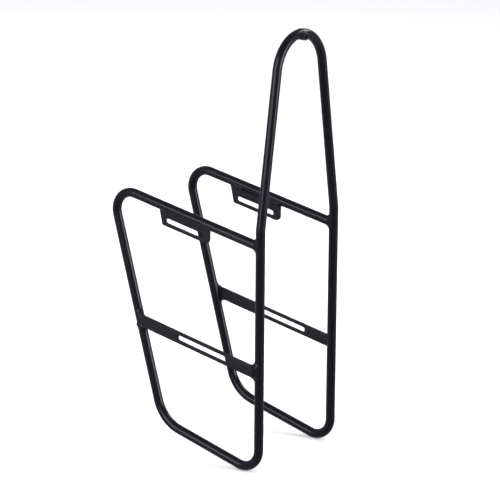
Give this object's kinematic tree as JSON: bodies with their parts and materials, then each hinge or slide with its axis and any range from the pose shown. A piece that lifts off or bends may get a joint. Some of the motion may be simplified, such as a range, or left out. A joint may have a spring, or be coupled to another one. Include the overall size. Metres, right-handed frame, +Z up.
{
  "type": "bicycle front pannier rack",
  "caption": "Low-rider front pannier rack: two bent-tube side frames with slotted fork plates, joined by an arch over the wheel with a threaded boss at its top.",
  "frame": {"origin": "midway between the centres of the two lower slots, on the plane of symmetry, where the fork's dropouts hold the rack", "axes": "+X towards the front of the bicycle, +Y to its left, +Z up along the front legs"},
  "size_m": [0.2055, 0.1444, 0.4676],
  "materials": {
    "tube_coat": "satin black powder coat on aluminium tube",
    "plate_coat": "matt black powder coat on aluminium plate",
    "weld_coat": "satin black powder coat over ground welds",
    "boss_coat": "satin black powder coat, bare thread"
  },
  "bodies": {
    "root": {"side_tube_right": "tube_coat", "lower_plate_right": "plate_coat", "upper_plate_right": "plate_coat", "rail_weld_right": "weld_coat", "lower_weld_front_right": "weld_coat", "lower_weld_rear_right": "weld_coat", "upper_weld_front_right": "weld_coat", "upper_weld_rear_right": "weld_coat", "side_tube_left": "tube_coat", "lower_plate_left": "plate_coat", "upper_plate_left": "plate_coat", "rail_weld_left": "weld_coat", "lower_weld_front_left": "weld_coat", "lower_weld_rear_left": "weld_coat", "upper_weld_front_left": "weld_coat", "upper_weld_rear_left": "weld_coat", "apex_boss": "boss_coat", "apex_weld_front": "weld_coat", "apex_weld_rear": "weld_coat"}
  },
  "joints": []
}
